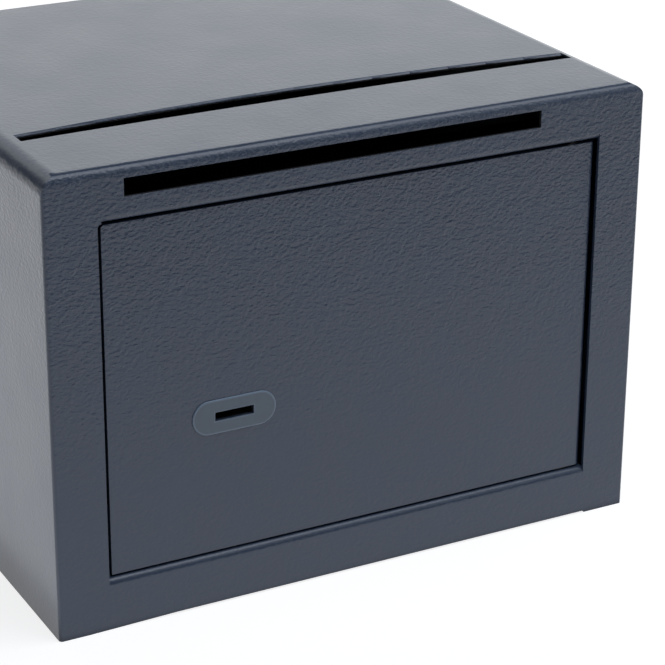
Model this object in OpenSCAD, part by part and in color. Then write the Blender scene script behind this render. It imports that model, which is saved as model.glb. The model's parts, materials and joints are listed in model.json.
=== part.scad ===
// Deposit safe: a sheet steel box with a top slot, a front slot and a recessed double-walled door.
// Origin at the bottom centre of the body. +X runs to the right of the front, +Y to the back, +Z up.

/* [Body] */
// Width of the body across the front
body_w = 350; // [345:5:500]
// Depth of the body from the front face to the back face
body_d = 296; // [250:2:450]
// Height of the body
body_h = 254; // [245:1:400]
// Thickness of the body's steel sheet
sheet = 2; // [1.5:0.25:2.5]
// Outer radius of the two long top edges
side_bend_r = 10; // [6:0.5:14]
// Outer radius of the top front edge
front_bend_r = 5; // [4:0.5:6]
// Outer radius of the two upright front edges
corner_r = 2; // [1:0.25:2.5]
// Depth of the front frame's edges, back to its seam with the body wrap
frame_edge = 8; // [7:0.5:20]
// Height by which the front frame's lower edge is relieved between its corners
relief_h = 1; // [0.5:0.1:1.5]
// Left end of that relief, from the body's left side
relief_left = 17; // [12:1:60]
// Length over which the relief rises from its left end
relief_run = 50; // [20:1:80]
// Right end of that relief, from the body's right side
relief_right = 26; // [15:1:60]
// Height of the base pan's upturned edges
base_flange = 15; // [8:1:20]
// Outer bend radius of the base pan
base_bend_r = 3; // [2.5:0.25:5]

/* [Slots] */
// Distance from the body's left side to the front slot
front_slot_left = 43.2; // [30:0.2:80]
// Distance from the body's right side to the front slot
front_slot_right = 66; // [30:0.2:80]
// Height of the front slot
front_slot_h = 9.7; // [5:0.1:10]
// Distance from the top of the body down to the front slot
front_slot_drop = 6.3; // [6:0.1:7]
// Distance from the body's left side to the top slot
top_slot_left = 12.8; // [10:0.2:40]
// Distance from the body's right side to the top slot
top_slot_right = 9.8; // [9:0.2:40]
// Distance from the front face back to the ends of the top slot's front edge
top_slot_back = 58; // [50:0.2:90]
// How far the top slot's front edge bows back at its middle
top_slot_front_bow = 2.8; // [1:0.2:4]
// Width of the top slot at its two ends
top_slot_gap = 9.6; // [7:0.2:14]
// How far the top slot's rear edge bows back at its middle
top_slot_bow = 9.2; // [5:0.2:12]
// Rounding of the top slot's rear edge
top_slot_round = 1.4; // [0.5:0.1:1.4]
// Length of the deposit baffle's level shelf
baffle_shelf = 34; // [28:1:36]
// How far the deposit baffle's slope runs back
baffle_run = 20; // [10:1:21]
// Angle of the deposit baffle's slope below level
baffle_angle = 48; // [30:1:55]
// Thickness of the deposit baffle
baffle_t = 1.5; // [1:0.25:2]

/* [Door opening] */
// Width of the front frame left of the door opening
frame_left = 28.7; // [26:0.2:40]
// Width of the front frame right of the door opening
frame_right = 28; // [26:0.2:40]
// Distance from the top of the body down to the door opening
head_drop = 28.2; // [27:0.1:34]
// Height of the lower flange's upper face
sill_z = 29.4; // [26:0.2:36]
// Radius of the opening's upper left corner
opening_corner_r = 2; // [1:0.25:3]
// Outer radius of the rolled upper and lower edges
roll_r = 4; // [3.5:0.25:5]
// Depth of the flanges behind the front face
flange_d = 24; // [20:1:28]

/* [Door] */
// Gap between the door and the left side of the opening
gap_left = 2.5; // [2:0.1:4]
// Gap between the door and the right side of the opening
gap_right = 1.2; // [1:0.1:2.5]
// Gap above the door
gap_top = 1.6; // [0.6:0.1:2]
// Gap below the door
gap_bottom = 1.2; // [0.8:0.1:2]
// Recess of the door behind the front face
door_recess = 2.5; // [2.2:0.1:3]
// Thickness of the whole door, outer face to inner face
door_t = 24.5; // [23.5:0.5:26]
// Thickness of the door skin
skin_t = 2.5; // [2:0.25:3]
// Outer bend radius of the door skin's hinge side
skin_bend_r = 3; // [3:0.25:5]
// Radius of the door skin's upper left corner
skin_corner_r = 2; // [1:0.25:3]
// Depth of the door skin's bent edge, behind its outer face
skin_return = 22; // [12:1:23]
// Thickness of the door pan and its access cover
pan_t = 1.5; // [1:0.25:2]
// Inset of the door pan from the door skin's lock-side edge
pan_inset_left = 14.8; // [14:0.2:18]
// Inset of the door pan from the door skin's upper and lower edges
pan_inset_z = 1.6; // [1:0.2:4]
// Distance from the door pan's lock side to its access opening
access_inset = 16; // [15:0.5:18]
// Width of the access opening in the door pan
access_w = 100; // [92:1:120]
// Distance from the door pan's upper and lower edges to its access opening
access_margin = 20.4; // [16:0.2:24]
// Overlap of the access cover round its opening
access_lap = 10; // [8:0.5:14]

/* [Hinge] */
// Radius of the hinge pins
pin_r = 4; // [3:0.25:4.5]
// Distance from the door's hinge-side edge to the hinge axis
pin_inset = 10.5; // [10:0.25:12]
// Distance from the door's outer face back to the hinge axis
pin_back = 9; // [8.5:0.25:9.5]
// Length of a hinge pin inside the door
pin_reach = 9; // [6:0.5:12]
// Outer radius of the hinge bushes
bush_r = 6; // [5.5:0.25:6]
// Length of a hinge bush
bush_len = 12; // [10:0.5:16]
// Running clearance of pins and shafts, on the radius
run_clear = 0.05; // [0.02:0.01:0.1]
// Clearance between parts that slide or face each other
face_clear = 0.1; // [0.05:0.05:0.2]
// Outer radius of the thrust washer
washer_r = 7; // [6:0.25:7.25]

/* [Lock] */
// Distance from the door's lock-side edge to the keyhole
key_inset = 71.4; // [68:0.2:90]
// Height of the keyhole above the door's lower edge
key_up = 78; // [76:0.2:90]
// Length of the keyhole
key_w = 22.3; // [18:0.1:23]
// Height of the keyhole
key_h = 5; // [4.5:0.1:6]
// Length of the escutcheon
plate_w = 48.2; // [40:0.1:60]
// Height of the escutcheon
plate_h = 19.2; // [16:0.1:24]
// Thickness of the escutcheon
plate_t = 0.8; // [0.6:0.1:1.2]
// Bevel round the escutcheon
plate_bevel = 0.3; // [0.1:0.1:0.4]
// Width of the lock case
case_w = 66; // [64:1:72]
// Height of the lock case below the keyhole
case_down = 32; // [31:0.5:34]
// Height of the lock case above the keyhole
case_up = 48; // [47:0.5:54]
// Depth of the lock case without its cover
case_t = 15; // [15:0.1:16]
// Wall thickness of the lock case and its cover
case_wall = 1.5; // [1.2:0.1:1.8]
// Side of the lock case's corner bosses
boss = 8; // [7:0.25:8]
// Number of levers
lever_count = 6; // [3:1:7]
// Thickness of a lever
lever_t = 0.8; // [0.5:0.05:0.8]
// Width of a lever
lever_w = 48; // [44:0.5:48]
// Height of a lever
lever_h = 62; // [58:0.5:62]
// Radius of the lever post
post_r = 2.5; // [2:0.25:3]
// Radius of the drum's two discs
drum_r = 12.5; // [12:0.1:12.6]
// Radius of the drum's core
drum_core_r = 9; // [7:0.1:9.5]
// Radius of the crank pin
crank_r = 3; // [2:0.1:3]
// Distance from the keyhole's middle to the levers' right edge
lever_side = 25; // [23:0.5:25]
// Height of the levers' upper edge above the keyhole's middle
lever_rise = 38.5; // [36:0.5:38.5]
// Distance from the levers' right edge to the lever post
post_side = 6; // [5:0.25:8]
// Distance from the levers' upper edge down to the lever post
post_drop = 7; // [6:0.25:9]
// Width of the first lever's gate
gate_w = 2; // [1:0.25:2.5]
// Height of the levers' gates
gate_h = 8; // [5:0.5:10]
// Widening of the gate from one lever to the next
gate_step = 0.6; // [0.2:0.1:0.6]
// Mean radius of the lever spring
spring_r = 2.2; // [1.5:0.1:2.4]
// Radius of the lever spring's wire
wire_r = 0.35; // [0.2:0.05:0.4]
// Turns of the lever spring
spring_turns = 5; // [3:1:6]
// Distance from the levers' left edge to the lever spring
spring_side = 9; // [8:0.5:14]

/* [Bolts] */
// Radius of the round bolts
bolt_r = 8; // [6:0.1:8]
// Length of a round bolt in front of its bar
bolt_len = 30; // [29:0.5:30]
// Throw of the bolts
bolt_throw = 16; // [12:0.5:16]
// Distance between the two round bolts
bolt_pitch = 110; // [110:1:130]
// Set-back of the drawn bolts from the door's lock-side edge
bolt_setback = 3; // [2:0.2:3.2]
// Thickness of the bolt bar
bar_t = 3; // [2:0.25:3]
// Width of the bolt bar
bar_w = 14.5; // [12:0.5:15]
// Thickness of the lock bolt
tongue_t = 3.5; // [3:0.1:3.5]
// Height of the lock bolt
tongue_h = 32; // [30:0.5:34]
// Width of the lock bolt's steel beyond its crank slot
tongue_end = 5; // [3:0.5:8]
// Length of the bevel at a round bolt's tip
bolt_tip = 1.5; // [0.5:0.25:2.5]
// Radius of a round bolt's spigot
spigot_r = 4; // [3:0.25:5]
// How far the head of a round bolt's screw reaches past the spigot
bolt_head_over = 1; // [0.5:0.25:2]
// Depth of the tapped hole in a round bolt
bolt_tap = 6; // [4:0.5:10]
// Height of the bolt bar beyond each round bolt's middle
bar_over = 13; // [9:0.5:16]
// Wall thickness of the bolt bushes
guide_wall = 1.4; // [1:0.1:1.6]
// Width of the bolt bushes' flange
guide_flange = 2; // [1.8:0.1:3]
// Length of the bolt bushes in front of the door pan
guide_proud = 3; // [2:0.5:6]

/* [Screws] */
// Radius of the screws' threads
screw_r = 2; // [1.5:0.1:2.2]
// Radius of the screws' heads
head_r = 3.6; // [3:0.1:3.8]
// Height of the screws' heads
head_t = 1.5; // [1:0.1:2]
// Depth of the cross recess in a screw's head
recess_d = 0.9; // [0.5:0.1:0.9]
// Width of the cross recess
recess_w = 0.8; // [0.5:0.1:1]
// Length of the cross recess
recess_len = 4; // [3:0.25:4.5]
// Depth to which the lock screws enter the door skin
skin_tap = 1.5; // [0.5:0.25:1.5]
// Length of the access screws inside the door pan
screw_tail = 2; // [1:0.25:3]

/* [Anchors] */
// Radius of the anchor holes
anchor_r = 6; // [4:0.25:8]
// Distance between the two anchor holes of a pair
anchor_pitch = 220; // [150:5:260]
// Height of the back plate's anchor holes
anchor_z = 160; // [60:5:180]
// Distance of the base pan's anchor holes behind the body's middle
anchor_y = 20; // [0:5:80]

/* [Hidden] */
$fn = 64;
eps = 0.5;
big = 2 * max(body_w, body_d, body_h);

// Body planes
front_y = -body_d / 2;
back_y = body_d / 2;
left_x = -body_w / 2;
right_x = body_w / 2;
seam_y = front_y + frame_edge;
inner_w = body_w - 2 * sheet;
inner_back_y = back_y - sheet;

// Slots
slot_top_z = body_h - front_slot_drop;
slot_low_z = slot_top_z - front_slot_h;
slot_left_x = left_x + front_slot_left;
slot_right_x = right_x - front_slot_right;
top_cut_y = front_y + top_slot_back;
top_left_x = left_x + top_slot_left;
top_right_x = right_x - top_slot_right;
bow_half = (top_right_x - top_left_x) / 2;
bow_r = (bow_half * bow_half + top_slot_bow * top_slot_bow) / (2 * top_slot_bow);
bow_x = (top_left_x + top_right_x) / 2;
bow_y = top_cut_y + top_slot_gap + top_slot_bow - bow_r;
front_bow_r = (bow_half * bow_half + top_slot_front_bow * top_slot_front_bow) / (2 * top_slot_front_bow);
front_bow_y = top_cut_y + top_slot_front_bow - front_bow_r;

// Door opening
jamb_left_x = left_x + frame_left;
jamb_right_x = right_x - frame_right;
corner_x = jamb_left_x + opening_corner_r;
head_z = body_h - head_drop;
roll_y = front_y + roll_r;
shelf_z = head_z + sheet;

// Door
door_front_y = front_y + door_recess;
door_back_y = door_front_y + door_t;
skin_back_y = door_front_y + skin_t;
door_left_x = jamb_left_x + gap_left;
door_right_x = jamb_right_x - gap_right;
door_low_z = sill_z + gap_bottom;
door_top_z = head_z - gap_top;
door_w = door_right_x - door_left_x;
door_h = door_top_z - door_low_z;
pan_left_x = door_left_x + pan_inset_left;
pan_right_x = door_right_x - skin_t;
pan_low_z = door_low_z + pan_inset_z;
pan_top_z = door_top_z - pan_inset_z;
pan_inner_y = door_back_y - pan_t;
// Room that the door pan leaves for the inside of the skin's bend
bend_room = skin_bend_r - skin_t + face_clear;

// Hinge
hinge_x = door_right_x - pin_inset;
hinge_y = door_front_y + pin_back;
washer_t = gap_bottom - face_clear;

// Lock planes, from the skin to the back
key_x = door_left_x + key_inset;
key_z = door_low_z + key_up;
case_left_x = key_x - case_w / 2;
case_low_z = key_z - case_down;
case_top_z = key_z + case_up;
floor_y = skin_back_y + case_wall;
case_back_y = skin_back_y + case_t;
cover_back_y = case_back_y + case_wall;
disc_t = 2;
disc_y = skin_back_y + face_clear;
lever_y = disc_y + disc_t + 3 * face_clear;
lever_pitch = lever_t + 2 * face_clear;
web_y = lever_y + lever_count * lever_pitch + 2 * face_clear;
journal_t = case_wall + face_clear;
journal_y = case_back_y - face_clear;
tongue_y = journal_y - 3 * face_clear - tongue_t;
web_t = tongue_y - 2 * face_clear - web_y;
crank_room = 5 * face_clear;
crank_offset = bolt_throw / 2;
// A crank pin departs from steady motion by this share of the throw, so its slot is wider by that much
crank_slack = 0.112 * bolt_throw;
slot_r = crank_r + crank_slack;

// Levers
lever_right_x = key_x + lever_side;
lever_left_x = lever_right_x - lever_w;
lever_top_z = key_z + lever_rise;
post_x = lever_right_x - post_side;
post_z = lever_top_z - post_drop;
spring_x = lever_left_x + spring_side;
spring_seat_z = case_top_z - case_wall;

// Bolts
bolt_y = (skin_back_y + pan_inner_y) / 2;
bolt_tip_x = door_left_x + bolt_setback;
bar_x = bolt_tip_x + bolt_len;
door_mid_z = (door_low_z + door_top_z) / 2;
bolt_zs = [door_mid_z - bolt_pitch / 2, door_mid_z + bolt_pitch / 2];
bar_back_x = bar_x + bar_t;
guide_r = bolt_r + guide_wall;

// Access cover
access_mid_x = pan_left_x + access_inset + access_w / 2;
access_mid_z = (pan_low_z + pan_top_z) / 2;
access_h = pan_top_z - pan_low_z - 2 * access_margin;
cover_w = access_w + 2 * access_lap;
cover_h = access_h + 2 * access_lap;

// A block from its low corner to its high corner
module block(low, high) {
    translate(low) cube(high - low);
}

// A cylinder along Y
module rod_y(x, z, y0, y1, r) {
    translate([x, y0, z]) rotate([-90, 0, 0]) cylinder(r = r, h = y1 - y0);
}

// A cylinder along X
module rod_x(y, z, x0, x1, r) {
    translate([x0, y, z]) rotate([0, 90, 0]) cylinder(r = r, h = x1 - x0);
}

// A rectangle from one corner to another whose upper two corners are rounded
module top_rounded(x0, z0, x1, z1, r) {
    union() {
        translate([x0, z0]) square([x1 - x0, z1 - z0 - r]);
        translate([x0 + r, z1 - r - eps]) square([x1 - x0 - 2 * r, r + eps]);
        translate([x0 + r, z1 - r]) circle(r);
        translate([x1 - r, z1 - r]) circle(r);
    }
}

// The body's cross-section, drawn in by a margin all round its top and sides
module wrap_outline(margin) {
    top_rounded(left_x + margin, -margin, right_x - margin, body_h - margin, side_bend_r - margin);
}

module wrap_block(margin, y0, y1) {
    translate([0, y1, 0]) rotate([90, 0, 0]) linear_extrude(y1 - y0) wrap_outline(margin);
}

// A block along X whose upper front edge is rounded
module front_rounded(y0, y1, z1, r) {
    translate([-big / 2, 0, 0]) rotate([90, 0, 90]) linear_extrude(big) union() {
        translate([y0 + r, -big / 2]) square([y1 - y0 - r, z1 + big / 2]);
        translate([y0, -big / 2]) square([r + eps, z1 - r + big / 2]);
        translate([y0 + r, z1 - r]) circle(r);
    }
}

// A block along Z whose two front corners are rounded
module corner_rounded(r, y1) {
    translate([0, 0, -eps]) linear_extrude(body_h + 2 * eps) union() {
        translate([left_x, front_y + r]) square([body_w, y1 - front_y - r]);
        translate([left_x + r, front_y]) square([body_w - 2 * r, r + eps]);
        translate([left_x + r, front_y + r]) circle(r);
        translate([right_x - r, front_y + r]) circle(r);
    }
}

// The quarter bend and flange of a rolled edge, in the YZ plane, running up from its flange face
module roll_outline() {
    union() {
        intersection() {
            difference() {
                translate([roll_y, roll_r]) circle(roll_r);
                translate([roll_y, roll_r]) circle(roll_r - sheet);
            }
            translate([front_y, 0]) square(roll_r);
        }
        translate([roll_y, 0]) square([flange_d - roll_r, sheet]);
    }
}

module rolled_edge(x0, z, up) {
    translate([x0, 0, z]) mirror([0, 0, up ? 0 : 1]) rotate([90, 0, 90])
        linear_extrude(jamb_right_x - x0) roll_outline();
}

// A quarter of a disc's outer spandrel in the XZ plane, cut along Y, whose corner lies at its upper left
module corner_spandrel(x, z, r, y0, y1) {
    difference() {
        block([x, y0, z - r], [x + r, y1, z]);
        rod_y(x + r, z - r, y0 - eps, y1 + eps, r);
    }
}

// The top slot's cut, with its bowed front edge and its more strongly bowed, rounded rear edge
module top_slot_cut() {
    difference() {
        intersection() {
            union() {
                translate([bow_x, bow_y, body_h - sheet - eps])
                    cylinder(r = bow_r, h = sheet + 2 * eps, $fn = 720);
                translate([bow_x, bow_y, body_h - top_slot_round]) rotate_extrude($fn = 720)
                    difference() {
                        translate([bow_r - eps, 0]) square([top_slot_round + eps, top_slot_round + eps]);
                        translate([bow_r + top_slot_round, 0]) circle(top_slot_round, $fn = 32);
                    }
            }
            block([top_left_x, top_cut_y - eps, body_h - sheet - eps],
                [top_right_x, back_y, body_h + eps]);
        }
        translate([bow_x, front_bow_y, body_h - sheet - 2 * eps])
            cylinder(r = front_bow_r, h = sheet + 4 * eps, $fn = 720);
    }
}

module body_wrap() {
    color("slategray") difference() {
        wrap_block(0, seam_y, back_y);
        wrap_block(sheet, seam_y - eps, back_y + eps);
        top_slot_cut();
    }
}

module front_frame() {
    color("slategray") difference() {
        union() {
            difference() {
                intersection() {
                    wrap_block(0, front_y, seam_y);
                    front_rounded(front_y, seam_y, body_h, front_bend_r);
                    corner_rounded(corner_r, seam_y);
                }
                intersection() {
                    wrap_block(sheet, front_y + sheet, seam_y + eps);
                    front_rounded(front_y + sheet, seam_y + eps, body_h - sheet, front_bend_r - sheet);
                }
                block([jamb_left_x, front_y - eps, sill_z - roll_r],
                    [jamb_right_x, seam_y, head_z]);
                block([corner_x, front_y - eps, head_z - eps], [jamb_right_x, seam_y, head_z + roll_r]);
            }
            corner_spandrel(jamb_left_x, head_z, opening_corner_r, front_y, front_y + sheet);
            rolled_edge(corner_x, head_z, true);
            rolled_edge(jamb_left_x, sill_z, false);
        }
        relief_cut();
        block([slot_left_x, front_y - eps, slot_low_z],
            [slot_right_x, front_y + sheet + eps, slot_top_z]);
        for (z = [sill_z - sheet - eps, head_z - eps])
            translate([hinge_x, hinge_y, z]) cylinder(r = pin_r, h = sheet + 2 * eps);
    }
}

// The relief of the frame's lower edge, which rises slowly from its left end
module relief_cut() {
    x0 = left_x + relief_left;
    x1 = right_x - relief_right;
    translate([0, front_y + sheet + eps, 0]) rotate([90, 0, 0]) linear_extrude(sheet + 2 * eps)
        polygon([[x0, -eps], [x0, 0], [x0 + relief_run, relief_h], [x1, relief_h], [x1, -eps]]);
}

module base_pan() {
    color("slategray") difference() {
        translate([-inner_w / 2, 0, 0]) rotate([90, 0, 90]) linear_extrude(inner_w) difference() {
            base_outline(0);
            base_outline(sheet);
        }
        for (x = [-anchor_pitch / 2, anchor_pitch / 2])
            translate([x, anchor_y, -eps]) cylinder(r = anchor_r, h = sheet + 2 * eps);
    }
}

// The base pan's cross-section in the YZ plane, drawn in by a margin
module base_outline(margin) {
    y0 = front_y + sheet + margin;
    y1 = back_y - sheet - margin;
    r = base_bend_r - margin;
    union() {
        translate([y0, base_bend_r]) square([y1 - y0, base_flange - base_bend_r + (margin > 0 ? eps : 0)]);
        translate([y0 + r, margin]) square([y1 - y0 - 2 * r, base_bend_r]);
        translate([y0 + r, base_bend_r]) circle(r);
        translate([y1 - r, base_bend_r]) circle(r);
    }
}

module back_plate() {
    color("slategray") difference() {
        wrap_block(sheet, inner_back_y, back_y);
        block([left_x, inner_back_y - eps, -sheet - eps], [right_x, back_y + eps, 0]);
        for (x = [-anchor_pitch / 2, anchor_pitch / 2])
            rod_y(x, anchor_z, inner_back_y - eps, back_y + eps, anchor_r);
    }
}

module deposit_baffle() {
    y0 = roll_y + eps;
    y1 = y0 + baffle_shelf;
    drop = baffle_run * tan(baffle_angle);
    fold = baffle_t * tan(baffle_angle / 2);
    color("dimgray") translate([-inner_w / 2, 0, shelf_z]) rotate([90, 0, 90]) linear_extrude(inner_w)
        polygon([[y0, 0], [y0, baffle_t], [y1 + fold, baffle_t],
            [y1 + baffle_run, baffle_t - drop + fold * tan(baffle_angle)],
            [y1 + baffle_run, -drop], [y1, 0]]);
}

module upper_hinge_pin() {
    color("silver") translate([hinge_x, hinge_y, door_top_z - pin_reach])
        cylinder(r = pin_r, h = pin_reach + gap_top + sheet);
}

module lower_hinge_pin() {
    color("silver") translate([hinge_x, hinge_y, sill_z - sheet])
        cylinder(r = pin_r, h = sheet + gap_bottom + pin_reach);
}

module thrust_washer() {
    color("goldenrod") translate([hinge_x, hinge_y, sill_z]) difference() {
        cylinder(r = washer_r, h = washer_t);
        translate([0, 0, -eps]) cylinder(r = pin_r + run_clear, h = washer_t + 2 * eps);
    }
}

// The keyhole, cut along Y
module key_cut(y0, y1, slack) {
    block([key_x - key_w / 2 - slack, y0, key_z - key_h / 2 - slack],
        [key_x + key_w / 2 + slack, y1, key_z + key_h / 2 + slack]);
}

// The four places of the lock screws
module at_lock_screws() {
    for (x = [case_left_x + boss / 2, case_left_x + case_w - boss / 2],
            z = [case_low_z + boss / 2, case_top_z - boss / 2])
        translate([x, 0, z]) children();
}

module door_skin() {
    color("slategray") difference() {
        translate([0, 0, door_low_z]) linear_extrude(door_h) union() {
            translate([door_left_x, door_front_y]) square([door_w - skin_bend_r, skin_t]);
            translate([door_right_x - skin_t, door_front_y + skin_bend_r])
                square([skin_t, skin_return - skin_bend_r]);
            intersection() {
                difference() {
                    translate([door_right_x - skin_bend_r, door_front_y + skin_bend_r]) circle(skin_bend_r);
                    translate([door_right_x - skin_bend_r, door_front_y + skin_bend_r])
                        circle(skin_bend_r - skin_t);
                }
                translate([door_right_x - skin_bend_r, door_front_y]) square(skin_bend_r);
            }
        }
        corner_spandrel(door_left_x, door_top_z, skin_corner_r, door_front_y - eps, skin_back_y + eps);
        key_cut(door_front_y - eps, skin_back_y + eps, 0);
        at_lock_screws() rod_y(0, 0, skin_back_y - skin_tap, skin_back_y + eps, screw_r);
    }
}

module door_pan() {
    color("dimgray") difference() {
        block([pan_left_x, skin_back_y, pan_low_z], [pan_right_x, door_back_y, pan_top_z]);
        block([pan_left_x + pan_t, skin_back_y - eps, pan_low_z + pan_t],
            [pan_right_x - pan_t, pan_inner_y, pan_top_z - pan_t]);
        block([pan_right_x - bend_room, skin_back_y - eps, pan_low_z - eps],
            [pan_right_x + eps, skin_back_y + bend_room, pan_top_z + eps]);
        block([access_mid_x - access_w / 2, pan_inner_y - eps, access_mid_z - access_h / 2],
            [access_mid_x + access_w / 2, door_back_y + eps, access_mid_z + access_h / 2]);
        for (z = bolt_zs)
            rod_x(bolt_y, z, pan_left_x - eps, pan_left_x + pan_t + eps, guide_r + run_clear);
        for (z = [pan_low_z - eps, pan_top_z - pan_t - eps])
            translate([hinge_x, hinge_y, z]) cylinder(r = bush_r, h = pan_t + 2 * eps);
        at_access_screws() rod_y(0, 0, pan_inner_y - eps, door_back_y + eps, screw_r);
    }
}

// The six places of the access cover's screws
module at_access_screws() {
    for (x = [-cover_w / 2 + access_lap / 2, cover_w / 2 - access_lap / 2],
            z = [-cover_h / 2 + access_lap / 2, 0, cover_h / 2 - access_lap / 2])
        translate([access_mid_x + x, 0, access_mid_z + z]) children();
}

module access_cover() {
    color("dimgray") difference() {
        block([access_mid_x - cover_w / 2, door_back_y, access_mid_z - cover_h / 2],
            [access_mid_x + cover_w / 2, door_back_y + pan_t, access_mid_z + cover_h / 2]);
        at_access_screws() rod_y(0, 0, door_back_y - eps, door_back_y + pan_t + eps, screw_r);
    }
}

// A cross-head screw along Y with its head at the back
module screw(y0, seat_y) {
    difference() {
        union() {
            rod_y(0, 0, y0, seat_y + eps, screw_r);
            rod_y(0, 0, seat_y, seat_y + head_t, head_r);
        }
        for (a = [0, 90])
            rotate([0, a, 0]) block([-recess_len / 2, seat_y + head_t - recess_d, -recess_w / 2],
                [recess_len / 2, seat_y + head_t + eps, recess_w / 2]);
    }
}

module access_screws() {
    color("silver") at_access_screws() screw(pan_inner_y - screw_tail, door_back_y + pan_t);
}

module hinge_bushes() {
    color("goldenrod") for (z = [door_low_z, door_top_z - bush_len])
        translate([hinge_x, hinge_y, z]) difference() {
            cylinder(r = bush_r, h = bush_len);
            translate([0, 0, -eps]) cylinder(r = pin_r + run_clear, h = bush_len + 2 * eps);
        }
}

// A plate with round ends and a bevelled front edge, lying against a wall at y = 0
module oval_plate(w, h, t, bevel) {
    r = h / 2;
    half = w / 2 - r;
    rotate([90, 0, 0]) union() {
        for (x = [-half, half]) translate([x, 0, 0]) {
            cylinder(r = r, h = t - bevel);
            translate([0, 0, t - bevel]) cylinder(r1 = r, r2 = r - bevel, h = bevel);
        }
        translate([-half, 0, 0]) rotate([90, 0, 90]) linear_extrude(2 * half)
            polygon([[-r, 0], [r, 0], [r, t - bevel], [r - bevel, t], [bevel - r, t], [-r, t - bevel]]);
    }
}

module escutcheon() {
    color("slategray") difference() {
        translate([key_x, door_front_y, key_z]) oval_plate(plate_w, plate_h, plate_t, plate_bevel);
        key_cut(door_front_y - plate_t - eps, door_front_y + eps, 0);
    }
}

module bolt_bushes() {
    color("goldenrod") for (z = bolt_zs) difference() {
        union() {
            rod_x(bolt_y, z, pan_left_x - guide_proud, pan_left_x, bolt_r + guide_flange);
            rod_x(bolt_y, z, pan_left_x - guide_proud, pan_left_x + pan_t, guide_r);
        }
        rod_x(bolt_y, z, pan_left_x - guide_proud - eps, pan_left_x + pan_t + eps, bolt_r + run_clear);
    }
}

module lock_case() {
    x1 = case_left_x + case_w;
    color("silver") difference() {
        union() {
            difference() {
                block([case_left_x, skin_back_y, case_low_z], [x1, case_back_y, case_top_z]);
                block([case_left_x + case_wall, floor_y, case_low_z + case_wall],
                    [x1 - case_wall, case_back_y + eps, case_top_z - case_wall]);
            }
            at_lock_screws() block([-boss / 2, skin_back_y, -boss / 2], [boss / 2, case_back_y, boss / 2]);
        }
        rod_y(key_x, key_z, skin_back_y - eps, floor_y + eps, drum_r + run_clear);
        block([case_left_x - eps, tongue_y - face_clear, key_z - tongue_h / 2 - face_clear],
            [case_left_x + case_wall + eps, case_back_y + eps, key_z + tongue_h / 2 + face_clear]);
        at_lock_screws() rod_y(0, 0, skin_back_y - eps, case_back_y + eps, screw_r);
        rod_y(post_x, post_z, skin_back_y - eps, floor_y + eps, post_r);
    }
}

module lock_cover() {
    color("silver") difference() {
        block([case_left_x, case_back_y, case_low_z], [case_left_x + case_w, cover_back_y, case_top_z]);
        rod_y(key_x, key_z, case_back_y - eps, cover_back_y + eps, drum_r + run_clear);
        at_lock_screws() rod_y(0, 0, case_back_y - eps, cover_back_y + eps, screw_r);
    }
}

module lock_screws() {
    color("silver") at_lock_screws() screw(skin_back_y - skin_tap, cover_back_y);
}

module lever_post() {
    color("silver") rod_y(post_x, post_z, skin_back_y, case_back_y, post_r);
}

module levers() {
    x0 = lever_left_x;
    z0 = lever_top_z - lever_h;
    color("goldenrod") for (i = [0 : lever_count - 1]) {
        y0 = lever_y + i * lever_pitch;
        difference() {
            block([x0, y0, z0], [lever_right_x, y0 + lever_t, lever_top_z]);
            rod_y(post_x, post_z, y0 - eps, y0 + lever_t + eps, post_r + run_clear);
            rod_y(key_x, key_z, y0 - eps, y0 + lever_t + eps, drum_r);
            block([x0 - eps, y0 - eps, lever_top_z - gate_h],
                [x0 + gate_w + i * gate_step, y0 + lever_t + eps, lever_top_z + eps]);
        }
    }
}

// A coil of round wire between two heights: rings of points along a helix, joined to one closed tube
module coil(mean_r, wire, turns, z0, z1) {
    rings = 12 * turns;
    sides = 8;
    points = [for (i = [0 : rings]) for (k = [0 : sides - 1])
        let (a = 360 * turns * i / rings, b = 360 * k / sides, r = mean_r + wire * cos(b))
        [r * cos(a), r * sin(a), z0 + wire + (z1 - z0 - 2 * wire) * i / rings + wire * sin(b)]];
    walls = [for (i = [0 : rings - 1]) for (k = [0 : sides - 1]) let (n = (k + 1) % sides)
        [i * sides + k, (i + 1) * sides + k, (i + 1) * sides + n, i * sides + n]];
    start = [for (k = [0 : sides - 1]) k];
    finish = [for (k = [0 : sides - 1]) rings * sides + sides - 1 - k];
    polyhedron(points = points, faces = concat([start], walls, [finish]));
}

module lever_spring() {
    color("silver") translate([spring_x, lever_y + lever_count * lever_pitch / 2, 0])
        coil(spring_r, wire_r, spring_turns, lever_top_z, spring_seat_z);
}

module key_drum() {
    color("goldenrod") difference() {
        union() {
            rod_y(key_x, key_z, disc_y, disc_y + disc_t, drum_r);
            rod_y(key_x, key_z, disc_y, web_y + eps, drum_core_r);
            rod_y(key_x, key_z, web_y, web_y + web_t, drum_r);
        }
        key_cut(disc_y - eps, web_y, face_clear);
        rod_y(key_x + crank_offset, key_z, web_y - eps, web_y + web_t + eps, crank_r);
    }
}

module crank_pin() {
    color("silver") rod_y(key_x + crank_offset, key_z, web_y, journal_y + journal_t, crank_r);
}

module rear_journal() {
    color("goldenrod") difference() {
        rod_y(key_x, key_z, journal_y, journal_y + journal_t, drum_r);
        rod_y(key_x + crank_offset, key_z, journal_y - eps, journal_y + journal_t + eps, crank_r);
    }
}

module lock_bolt() {
    slot_x = key_x + crank_offset;
    reach = crank_offset + crank_r + crank_room;
    color("silver") difference() {
        union() {
            block([bar_back_x, tongue_y, key_z - tongue_h / 2],
                [slot_x + slot_r + tongue_end, tongue_y + tongue_t, key_z + tongue_h / 2]);
            tongue_tail(eps);
        }
        block([slot_x - slot_r, tongue_y - eps, key_z - reach],
            [slot_x + slot_r, tongue_y + tongue_t + eps, key_z + reach]);
    }
}

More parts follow.
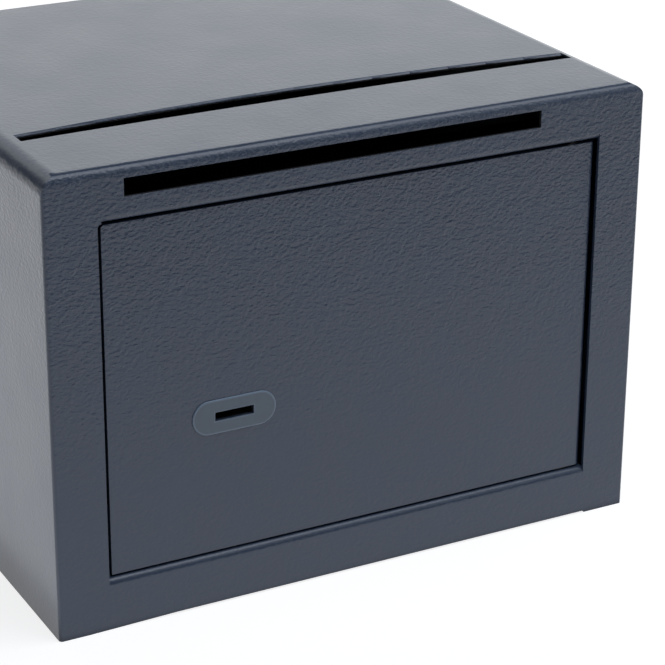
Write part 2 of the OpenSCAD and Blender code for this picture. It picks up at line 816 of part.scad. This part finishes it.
// The lock bolt's tail, which fits through the bolt bar
module tongue_tail(over) {
    block([bar_x, tongue_y, key_z - tongue_h / 4],
        [bar_back_x + over, tongue_y + tongue_t, key_z + tongue_h / 4]);
}

module bolt_bar() {
    color("silver") difference() {
        block([bar_x, bolt_y - bar_w / 2, bolt_zs[0] - bar_over],
            [bar_back_x, bolt_y + bar_w / 2, bolt_zs[1] + bar_over]);
        translate([-eps, 0, 0]) tongue_tail(2 * eps);
        for (z = bolt_zs) rod_x(bolt_y, z, bar_x - eps, bar_back_x + eps, spigot_r);
    }
}

// A round bolt with a bevelled tip, a spigot through the bar and a tapped hole for its screw
module round_bolt(z) {
    color("silver") difference() {
        union() {
            rod_x(bolt_y, z, bolt_tip_x + bolt_tip, bar_x, bolt_r);
            translate([bolt_tip_x, bolt_y, z]) rotate([0, 90, 0])
                cylinder(r1 = bolt_r - bolt_tip, r2 = bolt_r, h = bolt_tip);
            rod_x(bolt_y, z, bar_x - eps, bar_back_x, spigot_r);
        }
        rod_x(bolt_y, z, bar_x - bolt_tap, bar_back_x + eps, screw_r);
    }
}

module upper_bolt() {
    round_bolt(bolt_zs[1]);
}

module lower_bolt() {
    round_bolt(bolt_zs[0]);
}

module bolt_screws() {
    color("silver") for (z = bolt_zs) {
        rod_x(bolt_y, z, bar_x - bolt_tap, bar_back_x + eps, screw_r);
        rod_x(bolt_y, z, bar_back_x, bar_back_x + head_t, spigot_r + bolt_head_over);
    }
}

body_wrap();
front_frame();
base_pan();
back_plate();
deposit_baffle();
upper_hinge_pin();
lower_hinge_pin();
thrust_washer();
door_skin();
door_pan();
access_cover();
access_screws();
hinge_bushes();
escutcheon();
bolt_bushes();
lock_case();
lock_cover();
lock_screws();
lever_post();
levers();
lever_spring();
key_drum();
crank_pin();
rear_journal();
lock_bolt();
bolt_bar();
upper_bolt();
lower_bolt();
bolt_screws();
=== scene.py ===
"""Looks of the deposit safe: powder coated sheet steel, a brass and steel lock, a pale studio.

Metres, in the frame of the part: +X to the right of the front, +Y to the back, +Z up.
"""

import json
import math

import bpy
from mathutils import Matrix, Vector


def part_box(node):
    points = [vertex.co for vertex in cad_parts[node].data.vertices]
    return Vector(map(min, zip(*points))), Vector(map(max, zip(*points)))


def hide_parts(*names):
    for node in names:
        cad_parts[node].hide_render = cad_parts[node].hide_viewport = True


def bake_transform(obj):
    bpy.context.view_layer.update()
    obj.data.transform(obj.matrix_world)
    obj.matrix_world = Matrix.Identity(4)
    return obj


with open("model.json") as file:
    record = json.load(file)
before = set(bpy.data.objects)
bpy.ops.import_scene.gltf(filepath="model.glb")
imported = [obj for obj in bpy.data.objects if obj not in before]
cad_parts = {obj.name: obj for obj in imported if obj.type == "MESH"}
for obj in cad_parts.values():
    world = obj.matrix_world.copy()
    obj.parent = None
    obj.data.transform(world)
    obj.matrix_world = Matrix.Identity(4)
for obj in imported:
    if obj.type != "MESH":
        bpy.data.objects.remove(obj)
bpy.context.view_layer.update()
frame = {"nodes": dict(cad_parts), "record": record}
NODES = frame["nodes"]

MM = 0.001

# The photograph's camera: its place, its turns in degrees, and its sensor and lens in millimetres
CAMERA_AT = Vector((-0.5672, -1.1793, 0.6351))
CAMERA_AZIMUTH = 28.1241
CAMERA_DOWN = 22.7835
CAMERA_ROLL = 0.3529
SENSOR = 36.0
LENS = 130.981

# The rounding that a coat of powder or a deburred edge gives, and the least bend that counts as an edge
COAT_EDGE = 0.3 * MM
METAL_EDGE = 0.2 * MM
EDGE_SEGMENTS = 2
EDGE_ANGLE = math.radians(32)

# What is joined before the rounding: points this close together, and faces this near to flat
WELD_REACH = 0.002 * MM
FLAT_ANGLE = math.radians(0.2)

# How much the shading of a rounded edge follows the large faces beside it, from 1 to 100
LARGE_FACE_WEIGHT = 100

# Colours, as linear red, green and blue
SLATE = (0.043, 0.062, 0.102)
# Painted shade: the inner coat is the slate a tenth darker, for the less lit inside
INNER_SLATE_SHADED = (0.0387, 0.0558, 0.0918)
PLATE_GREY = (0.088, 0.118, 0.158)
# Painted shade: the baffle's black stands in for the shade seen through the slots
BAFFLE_SHADE_BLACK = (0.004, 0.004, 0.004)
# Painted shade for the slots' cut walls
SLOT_SHADE_COLOUR = (0.004, 0.004, 0.005)
GROUND_STEEL = (0.62, 0.62, 0.63)
ZINC = (0.55, 0.56, 0.57)
BRASS = (0.72, 0.52, 0.24)
# Painted shade: the key drum's brass darkened so that the keyhole looks dark
DRUM_SHADE_BRASS = (0.05, 0.035, 0.02)
# Painted shade: the hinge bushes' bronze darkened so that they show dark in the door gap
BUSH_SHADE_BRONZE = (0.12, 0.07, 0.035)

# The outer coat: its roughness, the size of its pebbles and the depth of its grain
COAT_ROUGHNESS = 0.3
COAT_GRAIN = 1.6 * MM
COAT_DEPTH = 0.6 * MM

# Shares that scale the coordinates of the pebbles, which lie wider than high, and how far they are warped
PEBBLE_SHAPE = (0.75, 0.6, 1.05)
PEBBLE_WARP = 0.15

# The noise laid over the pebbles: its size in grains, its detail and its share of their height
COAT_LAYERS = ((3.2, 1.0, 0.4), (0.3, 2.0, 0.1))

# How much of the grain shows on the sides, the front and the top: powder levels best on what lies flat
COAT_SHARES = (0.33, 0.84, 0.14)

# The height where the grain has its plain strength, its growth per metre above it, and the limits it keeps
GRAIN_HEIGHT = 0.14
GRAIN_RISE = 8.0
GRAIN_LEAST = 0.5
GRAIN_MOST = 1.5

# The values of the noise where a mottled surface is darkest and lightest
MOTTLE_LOW = 0.3
MOTTLE_HIGH = 0.7

# Painted shade on the slots' cut walls, dark and matt: their roughness, and the boxes that hold them
SLOT_SHADE_ROUGHNESS = 0.9
TOP_SLOT = (Vector((-168, -92, 200)) * MM, Vector((168, -68, 252.8)) * MM)
FRONT_SLOT = (Vector((-131.85, -147.6, 237.95)) * MM, Vector((109.05, -140, 247.75)) * MM)

# The escutcheon's middle, end radius and straight length, and the painted highlight on its rim: how wide
# and how much paler
PLATE_LOW, PLATE_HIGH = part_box("escutcheon")
PLATE_MIDDLE = (PLATE_LOW + PLATE_HIGH) / 2
PLATE_RADIUS = (PLATE_HIGH.z - PLATE_LOW.z) / 2
PLATE_STRAIGHT = PLATE_HIGH.x - PLATE_LOW.x - 2 * PLATE_RADIUS
PLATE_RIM = 1.2 * MM
RIM_HIGHLIGHT_PALER = 1.4

# Half the keyhole's length and height, and the painted highlight round it, through the whole plate and this
# much paler
KEYHOLE_HALF = Vector((11.15, 0, 2.5)) * MM
KEY_HIGHLIGHT_REACH = Vector((0.65, 4, 0.6)) * MM
KEY_HIGHLIGHT_PALER = 0.4

# The studio: where the lamps aim, how far off most of them stand and how high the low ones lie, the light's
# faint tints, and the level of the surround
AIM = Vector((0, 0, 0.12))
LAMP_DISTANCE = 2.2
LOW_LAMP_UP = 1 * MM
COOL = (0.95, 1.0, 1.075)
PALE = (0.975, 1.0, 1.01)
SKY_LEVEL = 0.03

# The floor: half its side, its depth below the safe, its grey, and the white that it adds for the camera
FLOOR_HALF = 30.0
FLOOR_DROP = 0.02 * MM
FLOOR_GREY = 0.4
FLOOR_LIFT = 0.79

# The distance beyond which the floor adds more white, and how much more per metre
FLOOR_NEAR = 1.5
FLOOR_RISE = 0.12


def shaded(colour, share):
    """The colour, made lighter or darker by a share."""
    return tuple(c * (1 + share) for c in colour)


def new_material(name, roughness, metallic=0.0, specular=0.5):
    """A material with its tree, its shader, and object coordinates in metres."""
    material = bpy.data.materials.new(name)
    material.use_nodes = True
    tree = material.node_tree
    shader = tree.nodes["Principled BSDF"]
    shader.inputs["Roughness"].default_value = roughness
    shader.inputs["Metallic"].default_value = metallic
    shader.inputs["Specular IOR Level"].default_value = specular
    place = tree.nodes.new("ShaderNodeTexCoord").outputs["Object"]
    return material, tree, shader, place


def feed(tree, node, values):
    """Fills the node's inputs in their order: a socket is linked, a plain value is set."""
    for socket, value in zip(node.inputs, values):
        if isinstance(value, bpy.types.NodeSocket):
            tree.links.new(value, socket)
        else:
            socket.default_value = value


def math_node(tree, operation, *values, clamp=False):
    """The result of a Math node on sockets and plain numbers."""
    node = tree.nodes.new("ShaderNodeMath")
    node.operation = operation
    node.use_clamp = clamp
    feed(tree, node, values)
    return node.outputs["Value"]


def vector_node(tree, operation, *values, result="Vector"):
    """The result of a Vector Math node on sockets and plain triples."""
    node = tree.nodes.new("ShaderNodeVectorMath")
    node.operation = operation
    feed(tree, node, values)
    return node.outputs[result]


def coordinates(tree, place):
    """The x, y and z of a place, as three sockets."""
    node = tree.nodes.new("ShaderNodeSeparateXYZ")
    feed(tree, node, [place])
    return node.outputs


def limited(tree, value, least, most):
    """The value, kept within two limits."""
    return math_node(tree, "MINIMUM", math_node(tree, "MAXIMUM", value, least), most)


def noise(tree, place, size, detail, warp=0.0):
    """Noise whose features measure about size metres."""
    node = tree.nodes.new("ShaderNodeTexNoise")
    node.inputs["Scale"].default_value = 1.0 / size
    node.inputs["Detail"].default_value = detail
    node.inputs["Distortion"].default_value = warp
    tree.links.new(place, node.inputs["Vector"])
    return node.outputs["Fac"]


def mottled(tree, cloud, colour, darker, lighter):
    """The colour, darker by one share where the noise is low and lighter by another where it is high."""
    node = tree.nodes.new("ShaderNodeValToRGB")
    ends = ((MOTTLE_LOW, -darker), (MOTTLE_HIGH, lighter))
    for element, (position, share) in zip(node.color_ramp.elements, ends):
        element.position = position
        element.color = (*shaded(colour, share), 1.0)
    tree.links.new(cloud, node.inputs["Fac"])
    return node.outputs["Color"]


def blend_to(tree, share, colour, other):
    """The colour where the share is nought, and the other colour where it is one."""
    node = tree.nodes.new("ShaderNodeMixRGB")
    feed(tree, node, (share, colour, (*other, 1.0)))
    return node.outputs["Color"]


def inside(tree, place, low, high):
    """One inside a box, given by two corners in metres, and nought outside."""
    x, y, z = (
        math_node(tree, "COMPARE", coordinate, (start + end) / 2, (end - start) / 2)
        for coordinate, start, end in zip(coordinates(tree, place), low, high)
    )
    return math_node(tree, "MULTIPLY", math_node(tree, "MULTIPLY", x, y), z)


def plate_rim(tree, place):
    """One on the rim of the upright oval escutcheon, fading inwards to nought."""
    x, _, z = coordinates(tree, place)
    along = math_node(tree, "ABSOLUTE", math_node(tree, "SUBTRACT", x, PLATE_MIDDLE.x))
    along = math_node(tree, "MAXIMUM", math_node(tree, "SUBTRACT", along, PLATE_STRAIGHT / 2), 0.0)
    up = math_node(tree, "SUBTRACT", z, PLATE_MIDDLE.z)
    squares = [math_node(tree, "MULTIPLY", side, side) for side in (along, up)]
    away = math_node(tree, "SQRT", math_node(tree, "ADD", *squares))
    inset = math_node(tree, "SUBTRACT", PLATE_RADIUS, away)
    return math_node(tree, "SUBTRACT", 1.0, math_node(tree, "DIVIDE", inset, PLATE_RIM), clamp=True)


def grain_strength(tree, place):
    """How strongly the coat's grain shows: by the side that a face looks to, and more with its height."""
    facing = tree.nodes.new("ShaderNodeTexCoord").outputs["Normal"]
    squares = vector_node(tree, "MULTIPLY", facing, facing)
    fourths = vector_node(tree, "MULTIPLY", squares, squares)
    side = vector_node(tree, "DOT_PRODUCT", fourths, COAT_SHARES, result="Value")
    height = coordinates(tree, place)["Z"]
    rise = math_node(tree, "MULTIPLY_ADD", height, GRAIN_RISE, 1 - GRAIN_RISE * GRAIN_HEIGHT)
    return math_node(tree, "MULTIPLY", side, limited(tree, rise, GRAIN_LEAST, GRAIN_MOST))


def bump(tree, shader, height, depth, strength=1.0):
    """Bump on the shader's normal, depth metres deep where its strength is one."""
    node = tree.nodes.new("ShaderNodeBump")
    feed(tree, node, (strength, depth))
    tree.links.new(height, node.inputs["Height"])
    tree.links.new(node.outputs["Normal"], shader.inputs["Normal"])


def paint(tree, shader, tone, gloss):
    """Gives the shader its colour and its roughness."""
    tree.links.new(tone, shader.inputs["Base Color"])
    tree.links.new(gloss, shader.inputs["Roughness"])


def powder_coat(name, colour=SLATE, roughness=COAT_ROUGHNESS, grain=COAT_GRAIN, depth=COAT_DEPTH,
                specular=0.5, shade_box=None):
    """Textured powder coat with mottled tone and gloss, with painted shade, dark and matt, in the given
    box.
    """
    material, tree, shader, place = new_material(name, roughness, specular=specular)
    lying = vector_node(tree, "MULTIPLY", place, PEBBLE_SHAPE)
    height = noise(tree, lying, size=grain, detail=1.0, warp=PEBBLE_WARP)
    for grains, detail, share in COAT_LAYERS:
        layer = noise(tree, place, size=grains * grain, detail=detail)
        height = math_node(tree, "MULTIPLY_ADD", layer, share, height)
    bump(tree, shader, height, depth, grain_strength(tree, place))
    cloud = noise(tree, place, size=30 * MM, detail=4.0)
    tone = mottled(tree, cloud, colour, darker=0.06, lighter=0.06)
    gloss = mottled(tree, cloud, (roughness,) * 3, darker=0.07, lighter=0.07)
    # Painted shade: dark and matt on the slot's cut walls inside the box
    if shade_box:
        shade_share = inside(tree, place, *shade_box)
        tone = blend_to(tree, shade_share, tone, SLOT_SHADE_COLOUR)
        gloss = blend_to(tree, shade_share, gloss, (SLOT_SHADE_ROUGHNESS,) * 3)
    paint(tree, shader, tone, gloss)
    return material


def plate_coat(name, colour, roughness):
    """The escutcheon's smooth coat, with painted highlights along its rim and round the keyhole."""
    material, tree, shader, place = new_material(name, roughness)
    cloud = noise(tree, place, size=6 * MM, detail=4.0)
    tone = mottled(tree, cloud, colour, darker=0.05, lighter=0.05)
    gloss = mottled(tree, cloud, (roughness,) * 3, darker=0.1, lighter=0.1)
    highlight_reach = KEYHOLE_HALF + KEY_HIGHLIGHT_REACH
    key_highlight = inside(tree, place, PLATE_MIDDLE - highlight_reach, PLATE_MIDDLE + highlight_reach)
    # Painted highlight along the plate's rim
    tone = blend_to(tree, plate_rim(tree, place), tone, shaded(colour, RIM_HIGHLIGHT_PALER))
    # Painted highlight round the keyhole
    tone = blend_to(tree, key_highlight, tone, shaded(colour, KEY_HIGHLIGHT_PALER))
    paint(tree, shader, tone, gloss)
    bump(tree, shader, noise(tree, place, size=0.8 * MM, detail=2.0), depth=0.04 * MM)
    return material


def metal(name, colour, roughness, grain):
    """Steel, brass or bronze with fine grain and patchy gloss."""
    material, tree, shader, place = new_material(name, roughness, metallic=1.0)
    cloud = noise(tree, place, size=12 * MM, detail=5.0)
    tone = mottled(tree, cloud, colour, darker=0.18, lighter=0.1)
    gloss = mottled(tree, cloud, (roughness,) * 3, darker=0.2, lighter=0.25)
    paint(tree, shader, tone, gloss)
    bump(tree, shader, noise(tree, place, size=grain, detail=3.0), depth=0.02 * MM)
    return material


MATERIALS = {
    "body_coat": powder_coat("BodyCoat"),
    "door_coat": powder_coat("DoorCoat"),
    # The inner coat's darker slate is painted shade; its roughness and finer grain are its own
    "inner_coat": powder_coat("InnerCoat", INNER_SLATE_SHADED, roughness=0.5, grain=1.4 * MM, depth=0.3 * MM),
    # The baffle's matt black is painted shade for the dark behind the slots
    "baffle_coat": powder_coat("BaffleCoat", BAFFLE_SHADE_BLACK, roughness=0.9, grain=1.0 * MM, depth=0.1 * MM,
                               specular=0.0),
    "escutcheon_coat": plate_coat("EscutcheonCoat", PLATE_GREY, roughness=0.35),
    "bright_steel": metal("BrightSteel", GROUND_STEEL, roughness=0.28, grain=0.3 * MM),
    "zinc_steel": metal("ZincSteel", ZINC, roughness=0.4, grain=0.6 * MM),
    "lock_brass": metal("LockBrass", BRASS, roughness=0.35, grain=0.4 * MM),
}
COATED = {"body_coat", "door_coat", "inner_coat", "baffle_coat", "escutcheon_coat"}

# Nodes with a finish of their own: coat with painted shade on a slot's cut walls, and brass and bronze
# darkened as painted shade
OWN_FINISH = {
    "body_wrap": powder_coat("WrapCoat", shade_box=TOP_SLOT),
    "front_frame": powder_coat("FrameCoat", shade_box=FRONT_SLOT),
    # The key drum's dark brass is painted shade inside the keyhole
    "key_drum": metal("ShadedDrumBrass", DRUM_SHADE_BRASS, roughness=0.45, grain=0.4 * MM),
    # The hinge bushes' dark bronze is painted shade in the door gap
    "hinge_bushes": metal("ShadedBushBronze", BUSH_SHADE_BRONZE, roughness=0.4, grain=0.4 * MM),
}


def soften(obj, width):
    """Rounds the node's sharp edges by a small width, as its coat or deburring does."""
    for polygon in obj.data.polygons:
        polygon.use_smooth = True
    weld = obj.modifiers.new("weld", "WELD")
    weld.merge_threshold = WELD_REACH
    flat = obj.modifiers.new("flat", "DECIMATE")
    flat.decimate_type = "DISSOLVE"
    flat.angle_limit = FLAT_ANGLE
    edge = obj.modifiers.new("edge", "BEVEL")
    edge.width = width
    edge.segments = EDGE_SEGMENTS
    edge.limit_method = "ANGLE"
    edge.angle_limit = EDGE_ANGLE
    edge.use_clamp_overlap = True
    shade = obj.modifiers.new("shade", "WEIGHTED_NORMAL")
    shade.mode = "FACE_AREA"
    shade.weight = LARGE_FACE_WEIGHT


def dress_nodes():
    """Gives every node its material and softens its edges."""
    slots = {part["node"]: part["material_slot"] for part in frame["record"]["subparts"]}
    for name, obj in NODES.items():
        slot = slots[name]
        obj.data.materials.clear()
        obj.data.materials.append(OWN_FINISH.get(name, MATERIALS[slot]))
        soften(obj, COAT_EDGE if slot in COATED else METAL_EDGE)


def add_lever_spring():
    """The levers' spring, a copy of the node that is shown in its place.

    Its mesh is a copy of the dressed node's, with the material and the smooth faces.
    """
    node = NODES["lever_spring"]
    heights = [v.co.z for v in node.data.vertices]
    middle = sum((v.co for v in node.data.vertices), Vector()) / len(heights)
    spring = bpy.data.objects.new("LeverCoil", node.data.copy())
    bpy.context.scene.collection.objects.link(spring)
    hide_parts("lever_spring")
    start, end = middle.copy(), middle.copy()
    start.z, end.z = min(heights), max(heights)
    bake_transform(spring)


def add_camera():
    """The photograph's camera, turned from +Y towards +X, tipped down and rolled."""
    data = bpy.data.cameras.new("PhotoCamera")
    data.sensor_width = SENSOR
    data.lens = LENS
    camera = bpy.data.objects.new("PhotoCamera", data)
    turn = Matrix.Rotation(-math.radians(CAMERA_AZIMUTH), 4, "Z")
    tip = Matrix.Rotation(math.radians(90 - CAMERA_DOWN), 4, "X")
    roll = Matrix.Rotation(math.radians(CAMERA_ROLL), 4, "Z")
    camera.matrix_world = Matrix.Translation(CAMERA_AT) @ turn @ tip @ roll
    bpy.context.scene.collection.objects.link(camera)
    bpy.context.scene.camera = camera


def add_lamp(name, size, energy, place, turn, tint):
    """A rectangular area lamp that the camera doesn't see."""
    data = bpy.data.lights.new(name, "AREA")
    data.shape = "RECTANGLE"
    data.size, data.size_y = size
    data.energy = energy
    data.color = tint
    lamp = bpy.data.objects.new(name, data)
    lamp.location = place
    lamp.rotation_euler = turn
    lamp.visible_camera = False
    bpy.context.scene.collection.objects.link(lamp)


def add_softbox(name, azimuth, up, size, level, distance=LAMP_DISTANCE, tint=COOL):
    """A lamp that looks at the safe from an azimuth, measured from +Y towards +X, and a height angle.

    Level is the share of plain daylight that it gives a surface facing it.
    """
    around, above = math.radians(azimuth), math.radians(up)
    outward = math.cos(above)
    away = Vector((math.sin(around) * outward, math.cos(around) * outward, math.sin(above)))
    energy = level * math.pi ** 2 * distance ** 2
    turn = away.to_track_quat("Z", "Y").to_euler()
    add_lamp(name, size, energy, AIM + away * distance, turn, tint)


def add_low_box(name, x, y, size, radiance):
    """A lamp that lies just above the floor and shines upwards."""
    energy = radiance * math.pi * size[0] * size[1]
    add_lamp(name, size, energy, (x, y, LOW_LAMP_UP), (math.pi, 0, 0), COOL)


def add_lamps():
    """One broad lamp behind the safe, three soft ones before and beside it, and two low ones."""
    add_softbox("SoftboxBack", azimuth=15, up=17, size=(3.3, 1.7), level=0.385, distance=2.6, tint=PALE)
    add_softbox("SoftboxHigh", azimuth=180, up=70, size=(1.6, 1.1), level=0.34)
    add_softbox("SoftboxStrip", azimuth=105, up=58, size=(1.1, 1.2), level=0.23)
    add_softbox("SoftboxFront", azimuth=140, up=38, size=(1.2, 1.6), level=0.1)
    add_low_box("SoftboxLow", x=-0.74, y=0.3, size=(1.1, 1.0), radiance=0.47)
    add_low_box("SoftboxNear", x=0.15, y=-0.45, size=(1.3, 0.6), radiance=0.25)


def seen_or_mirrored(tree):
    """One where the camera, a reflection or a transmission looks, and nought for plain light."""
    path = tree.nodes.new("ShaderNodeLightPath")
    seen = path.outputs["Is Camera Ray"]
    for other in ("Is Glossy Ray", "Is Transmission Ray"):
        seen = math_node(tree, "MAXIMUM", seen, path.outputs[other])
    return seen


def add_world():
    """A dim even surround, white for the camera, so that the lamps and the pale floor draw the shapes."""
    world = bpy.data.worlds.new("Studio")
    bpy.context.scene.world = world
    world.use_nodes = True
    tree = world.node_tree
    sky = tree.nodes["Background"]
    sky.inputs["Color"].default_value = (*COOL, 1.0)
    seen = tree.nodes.new("ShaderNodeLightPath").outputs["Is Camera Ray"]
    tree.links.new(math_node(tree, "MAXIMUM", seen, SKY_LEVEL), sky.inputs["Strength"])


def add_floor():
    """A pale floor, lifted to white for the camera, that keeps the safe's shadow."""
    mesh = bpy.data.meshes.new("Floor")
    corners = [(x * FLOOR_HALF, y * FLOOR_HALF, 0) for x, y in ((-1, -1), (1, -1), (1, 1), (-1, 1))]
    mesh.from_pydata(corners, [], [(0, 1, 2, 3)])
    floor = bpy.data.objects.new("Floor", mesh)
    floor.location.z = -FLOOR_DROP
    material, tree, shader, place = new_material("FloorPaper", roughness=0.9, specular=0.1)
    fibre = noise(tree, place, size=4 * MM, detail=3.0)
    tone = mottled(tree, fibre, (FLOOR_GREY,) * 3, darker=0.025, lighter=0.025)
    tree.links.new(tone, shader.inputs["Base Color"])
    shader.inputs["Emission Color"].default_value = (1.0, 1.0, 1.0, 1.0)
    away = vector_node(tree, "LENGTH", place, result="Value")
    lift = math_node(tree, "MULTIPLY_ADD", away, FLOOR_RISE, FLOOR_LIFT - FLOOR_RISE * FLOOR_NEAR)
    lift = math_node(tree, "MULTIPLY", seen_or_mirrored(tree), limited(tree, lift, FLOOR_LIFT, 1.0))
    tree.links.new(lift, shader.inputs["Emission Strength"])
    material.cycles.emission_sampling = "NONE"
    mesh.materials.append(material)
    bpy.context.scene.collection.objects.link(floor)


dress_nodes()
add_lever_spring()
add_camera()
add_world()
add_floor()
add_lamps()

bpy.context.scene.view_settings.view_transform = "Standard"
